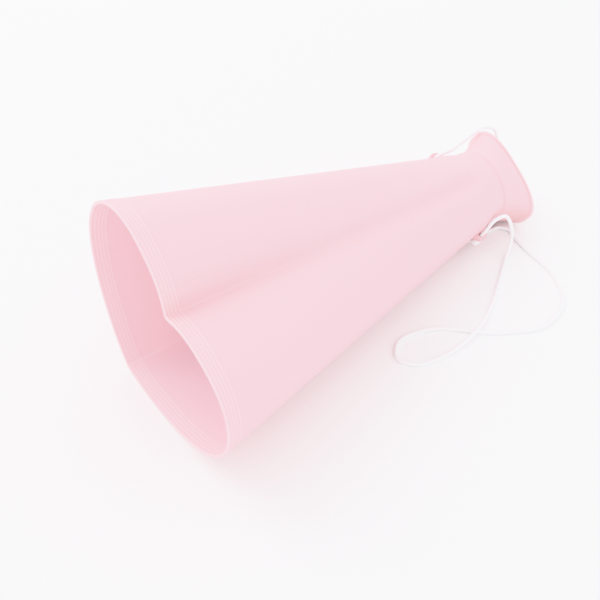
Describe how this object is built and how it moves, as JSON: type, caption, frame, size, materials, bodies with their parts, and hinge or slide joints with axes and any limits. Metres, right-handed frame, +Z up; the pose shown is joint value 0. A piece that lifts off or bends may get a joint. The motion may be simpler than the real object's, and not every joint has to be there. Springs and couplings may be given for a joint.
{
  "type": "cheer megaphone",
  "caption": "Heart section plastic cheering horn lying on its side, with a flat oval mouthpiece, side lugs and a thin neck cord.",
  "frame": {"origin": "centre of the plastic body's bounding box, at the height of the table it lies on; the neck cord is not counted", "axes": "+X runs along the horn from the bell to the mouthpiece, +Z is up from the table, +Y completes a right-handed frame"},
  "size_m": [0.2723, 0.1438, 0.1127],
  "materials": {
    "pink_plastic": "satin translucent pale pink",
    "white_cord": "smooth white braided cord"
  },
  "bodies": {
    "root": {"horn_shell": "pink_plastic", "bell_rim": "pink_plastic", "mouthpiece": "pink_plastic", "near_cord_lug": "pink_plastic", "far_cord_lug": "pink_plastic", "neck_cord": "white_cord", "near_cord_knot": "white_cord", "far_cord_knot": "white_cord"}
  },
  "joints": []
}
